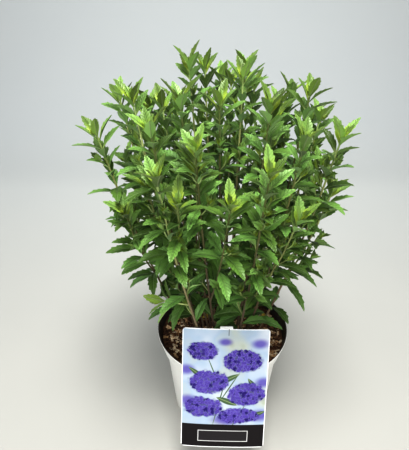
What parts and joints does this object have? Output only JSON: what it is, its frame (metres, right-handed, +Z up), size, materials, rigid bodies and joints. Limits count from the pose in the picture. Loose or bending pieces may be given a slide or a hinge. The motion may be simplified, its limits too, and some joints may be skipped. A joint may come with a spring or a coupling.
{
  "type": "potted bluebeard",
  "caption": "Bushy young bluebeard with toothed, lance-shaped leaves on upright stems, in a grey nursery pot with a picture card standing against its rim.",
  "frame": {"origin": "middle of the pot's flat underside", "axes": "+Z up along the pot's axis; -Y is the front, where the picture card stands; +X is to the right as seen from the front"},
  "size_m": [0.3098, 0.2965, 0.5312],
  "materials": {
    "pot": "matte",
    "soil": "rough",
    "foliage": "satin",
    "card": "satin"
  },
  "bodies": {
    "root": {"pot": "pot", "soil": "soil", "label": "card", "leafy_stem_01": "foliage", "leafy_stem_02": "foliage", "leafy_stem_03": "foliage", "leafy_stem_04": "foliage", "leafy_stem_05": "foliage", "leafy_stem_06": "foliage", "leafy_stem_07": "foliage", "leafy_stem_08": "foliage", "leafy_stem_09": "foliage", "leafy_stem_10": "foliage", "leafy_stem_11": "foliage", "leafy_stem_12": "foliage", "leafy_stem_13": "foliage", "leafy_stem_14": "foliage", "leafy_stem_15": "foliage", "leafy_stem_16": "foliage", "leafy_stem_17": "foliage", "leafy_stem_18": "foliage", "leafy_stem_19": "foliage", "leafy_stem_20": "foliage", "leafy_stem_21": "foliage", "leafy_stem_22": "foliage", "leafy_stem_23": "foliage", "leafy_stem_24": "foliage", "leafy_stem_25": "foliage", "leafy_stem_26": "foliage", "leafy_stem_27": "foliage", "leafy_stem_28": "foliage", "leafy_stem_29": "foliage", "leafy_stem_30": "foliage"}
  },
  "joints": []
}
